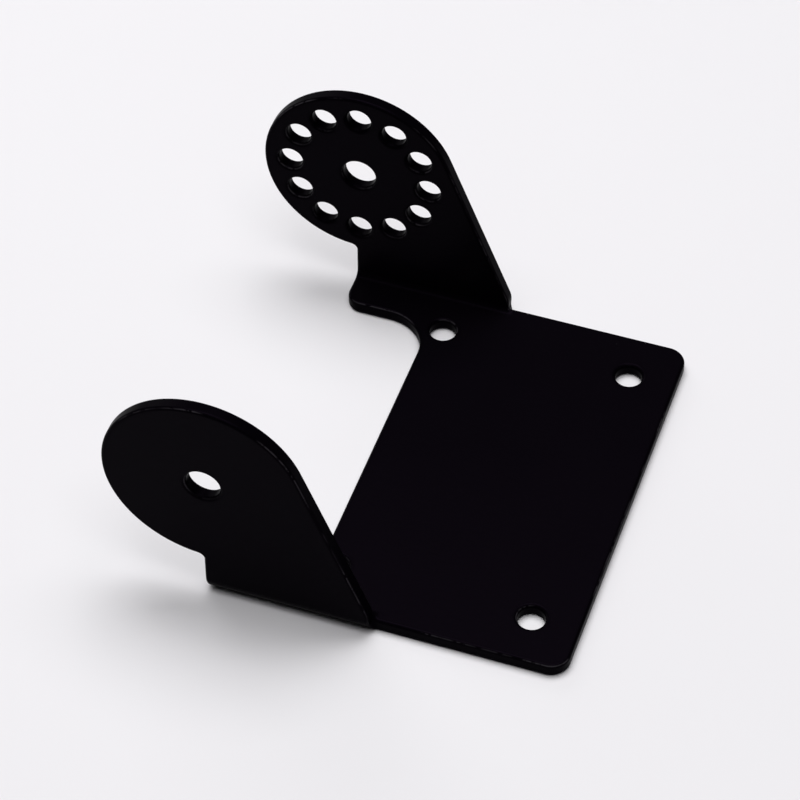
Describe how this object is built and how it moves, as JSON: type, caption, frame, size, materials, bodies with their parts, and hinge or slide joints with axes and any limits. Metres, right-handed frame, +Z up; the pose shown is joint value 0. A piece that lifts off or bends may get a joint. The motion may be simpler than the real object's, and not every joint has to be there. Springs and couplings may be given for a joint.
{
  "type": "tilt bracket",
  "caption": "Folded sheet-metal tilt yoke for a small camera: a flat base plate with two round upright ears, a shared pivot hole, a ring of angle-locking holes in one ear and screw holes in the base",
  "frame": {"origin": "on the underside of the base plate, midway between the ears, on the line through the two base holes nearest the ears", "axes": "+Z up out of the plate; +Y along the tilt axis towards the ear with the ring of holes; +X from the ears' overhang towards the free long edge of the plate"},
  "size_m": [0.0689, 0.0684, 0.0391],
  "materials": {
    "black_coat": "satin black coating over folded sheet metal"
  },
  "bodies": {
    "root": {"tilt_bracket": "black_coat"}
  },
  "joints": []
}
